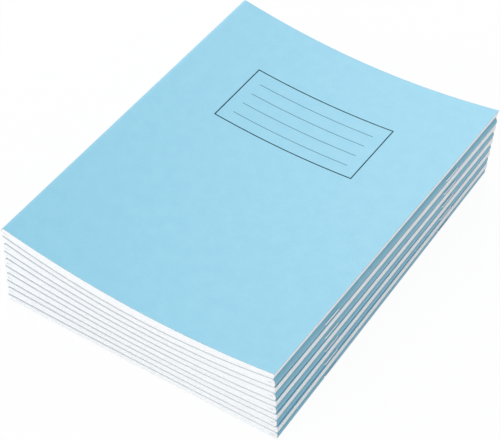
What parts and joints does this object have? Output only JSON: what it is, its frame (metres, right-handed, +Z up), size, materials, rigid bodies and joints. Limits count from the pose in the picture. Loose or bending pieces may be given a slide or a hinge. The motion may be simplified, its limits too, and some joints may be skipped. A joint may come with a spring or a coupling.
{
  "type": "stack of stapled exercise books",
  "caption": "Stack of thin stapled exercise books in pale blue card covers, spines left and right in turn; each book lifts off and the top book opens leaf by leaf.",
  "frame": {"origin": "middle of the bottom book's underside, on the surface that the stack stands on", "axes": "+X from the top book's spine to its fore-edge, +Y from its tail to its head, +Z up"},
  "size_m": [0.1838, 0.2352, 0.0516],
  "materials": {
    "cover_card": "smooth uncoated pale blue card",
    "paper": "white writing paper, feint ruled",
    "staple_wire": "bright zinc-plated steel wire"
  },
  "bodies": {
    "book_01": {"book_01_back_cover": "cover_card", "book_01_back_leaves": "paper", "book_01_staples": "staple_wire"},
    "book_02": {"book_02_cover": "cover_card", "book_02_sheets": "paper", "book_02_staples": "staple_wire"},
    "book_03": {"book_03_cover": "cover_card", "book_03_sheets": "paper", "book_03_staples": "staple_wire"},
    "book_04": {"book_04_cover": "cover_card", "book_04_sheets": "paper", "book_04_staples": "staple_wire"},
    "book_05": {"book_05_cover": "cover_card", "book_05_sheets": "paper", "book_05_staples": "staple_wire"},
    "book_06": {"book_06_cover": "cover_card", "book_06_sheets": "paper", "book_06_staples": "staple_wire"},
    "book_07": {"book_07_cover": "cover_card", "book_07_sheets": "paper", "book_07_staples": "staple_wire"},
    "book_08": {"book_08_cover": "cover_card", "book_08_sheets": "paper", "book_08_staples": "staple_wire"},
    "book_09": {"book_09_cover": "cover_card", "book_09_sheets": "paper", "book_09_staples": "staple_wire"},
    "book_10": {"book_10_cover": "cover_card", "book_10_sheets": "paper", "book_10_staples": "staple_wire"},
    "front_cover": {"book_01_front_cover": "cover_card"},
    "leaf_01": {"book_01_leaf_01": "paper"},
    "leaf_02": {"book_01_leaf_02": "paper"},
    "leaf_03": {"book_01_leaf_03": "paper"},
    "leaf_04": {"book_01_leaf_04": "paper"},
    "leaf_05": {"book_01_leaf_05": "paper"},
    "leaf_06": {"book_01_leaf_06": "paper"},
    "leaf_07": {"book_01_leaf_07": "paper"},
    "leaf_08": {"book_01_leaf_08": "paper"},
    "leaf_09": {"book_01_leaf_09": "paper"},
    "leaf_10": {"book_01_leaf_10": "paper"},
    "leaf_11": {"book_01_leaf_11": "paper"},
    "leaf_12": {"book_01_leaf_12": "paper"},
    "leaf_13": {"book_01_leaf_13": "paper"},
    "leaf_14": {"book_01_leaf_14": "paper"},
    "leaf_15": {"book_01_leaf_15": "paper"},
    "leaf_16": {"book_01_leaf_16": "paper"}
  },
  "joints": [
    {"name": "lift_book_01", "type": "slide", "parent": "book_02", "child": "book_01", "axis": [0, 0, 1], "range_m": [0, 0.06]},
    {"name": "lift_book_02", "type": "slide", "parent": "book_03", "child": "book_02", "axis": [0, 0, 1], "range_m": [0, 0.06]},
    {"name": "lift_book_03", "type": "slide", "parent": "book_04", "child": "book_03", "axis": [0, 0, 1], "range_m": [0, 0.06]},
    {"name": "lift_book_04", "type": "slide", "parent": "book_05", "child": "book_04", "axis": [0, 0, 1], "range_m": [0, 0.06]},
    {"name": "lift_book_05", "type": "slide", "parent": "book_06", "child": "book_05", "axis": [0, 0, 1], "range_m": [0, 0.06]},
    {"name": "lift_book_06", "type": "slide", "parent": "book_07", "child": "book_06", "axis": [0, 0, 1], "range_m": [0, 0.06]},
    {"name": "lift_book_07", "type": "slide", "parent": "book_08", "child": "book_07", "axis": [0, 0, 1], "range_m": [0, 0.06]},
    {"name": "lift_book_08", "type": "slide", "parent": "book_09", "child": "book_08", "axis": [0, 0, 1], "range_m": [0, 0.06]},
    {"name": "lift_book_09", "type": "slide", "parent": "book_10", "child": "book_09", "axis": [0, 0, 1], "range_m": [0, 0.06]},
    {"name": "open_cover", "type": "hinge", "parent": "book_01", "child": "front_cover", "pos_m": [-0.08934, 0.004, 0.04882], "axis": [0, -1, 0], "range_deg": [0, 180]},
    {"name": "turn_leaf_01", "type": "hinge", "parent": "book_01", "child": "leaf_01", "pos_m": [-0.08934, 0.004, 0.04882], "axis": [0, -1, 0], "range_deg": [0, 178.47]},
    {"name": "turn_leaf_02", "type": "hinge", "parent": "book_01", "child": "leaf_02", "pos_m": [-0.08934, 0.004, 0.04882], "axis": [0, -1, 0], "range_deg": [0, 173.92]},
    {"name": "turn_leaf_03", "type": "hinge", "parent": "book_01", "child": "leaf_03", "pos_m": [-0.08934, 0.004, 0.04882], "axis": [0, -1, 0], "range_deg": [0, 166.52]},
    {"name": "turn_leaf_04", "type": "hinge", "parent": "book_01", "child": "leaf_04", "pos_m": [-0.08934, 0.004, 0.04882], "axis": [0, -1, 0], "range_deg": [0, 156.51]},
    {"name": "turn_leaf_05", "type": "hinge", "parent": "book_01", "child": "leaf_05", "pos_m": [-0.08934, 0.004, 0.04882], "axis": [0, -1, 0], "range_deg": [0, 144.24]},
    {"name": "turn_leaf_06", "type": "hinge", "parent": "book_01", "child": "leaf_06", "pos_m": [-0.08934, 0.004, 0.04882], "axis": [0, -1, 0], "range_deg": [0, 130.12]},
    {"name": "turn_leaf_07", "type": "hinge", "parent": "book_01", "child": "leaf_07", "pos_m": [-0.08934, 0.004, 0.04882], "axis": [0, -1, 0], "range_deg": [0, 114.62]},
    {"name": "turn_leaf_08", "type": "hinge", "parent": "book_01", "child": "leaf_08", "pos_m": [-0.08934, 0.004, 0.04882], "axis": [0, -1, 0], "range_deg": [0, 98.3]},
    {"name": "turn_leaf_09", "type": "hinge", "parent": "book_01", "child": "leaf_09", "pos_m": [-0.08934, 0.004, 0.04882], "axis": [0, -1, 0], "range_deg": [0, 81.7]},
    {"name": "turn_leaf_10", "type": "hinge", "parent": "book_01", "child": "leaf_10", "pos_m": [-0.08934, 0.004, 0.04882], "axis": [0, -1, 0], "range_deg": [0, 65.38]},
    {"name": "turn_leaf_11", "type": "hinge", "parent": "book_01", "child": "leaf_11", "pos_m": [-0.08934, 0.004, 0.04882], "axis": [0, -1, 0], "range_deg": [0, 49.88]},
    {"name": "turn_leaf_12", "type": "hinge", "parent": "book_01", "child": "leaf_12", "pos_m": [-0.08934, 0.004, 0.04882], "axis": [0, -1, 0], "range_deg": [0, 35.77]},
    {"name": "turn_leaf_13", "type": "hinge", "parent": "book_01", "child": "leaf_13", "pos_m": [-0.08934, 0.004, 0.04882], "axis": [0, -1, 0], "range_deg": [0, 23.49]},
    {"name": "turn_leaf_14", "type": "hinge", "parent": "book_01", "child": "leaf_14", "pos_m": [-0.08934, 0.004, 0.04882], "axis": [0, -1, 0], "range_deg": [0, 13.48]},
    {"name": "turn_leaf_15", "type": "hinge", "parent": "book_01", "child": "leaf_15", "pos_m": [-0.08934, 0.004, 0.04882], "axis": [0, -1, 0], "range_deg": [0, 6.08]},
    {"name": "turn_leaf_16", "type": "hinge", "parent": "book_01", "child": "leaf_16", "pos_m": [-0.08934, 0.004, 0.04882], "axis": [0, -1, 0], "range_deg": [0, 1.53]}
  ],
  "couplings": [
    {"joint": "turn_leaf_01", "follows": "open_cover", "ratio": 0.9915},
    {"joint": "turn_leaf_02", "follows": "open_cover", "ratio": 0.9662},
    {"joint": "turn_leaf_03", "follows": "open_cover", "ratio": 0.9251},
    {"joint": "turn_leaf_04", "follows": "open_cover", "ratio": 0.8695},
    {"joint": "turn_leaf_05", "follows": "open_cover", "ratio": 0.8013},
    {"joint": "turn_leaf_06", "follows": "open_cover", "ratio": 0.7229},
    {"joint": "turn_leaf_07", "follows": "open_cover", "ratio": 0.6368},
    {"joint": "turn_leaf_08", "follows": "open_cover", "ratio": 0.5461},
    {"joint": "turn_leaf_09", "follows": "open_cover", "ratio": 0.4539},
    {"joint": "turn_leaf_10", "follows": "open_cover", "ratio": 0.3632},
    {"joint": "turn_leaf_11", "follows": "open_cover", "ratio": 0.2771},
    {"joint": "turn_leaf_12", "follows": "open_cover", "ratio": 0.1987},
    {"joint": "turn_leaf_13", "follows": "open_cover", "ratio": 0.1305},
    {"joint": "turn_leaf_14", "follows": "open_cover", "ratio": 0.0749},
    {"joint": "turn_leaf_15", "follows": "open_cover", "ratio": 0.0338},
    {"joint": "turn_leaf_16", "follows": "open_cover", "ratio": 0.0085}
  ]
}
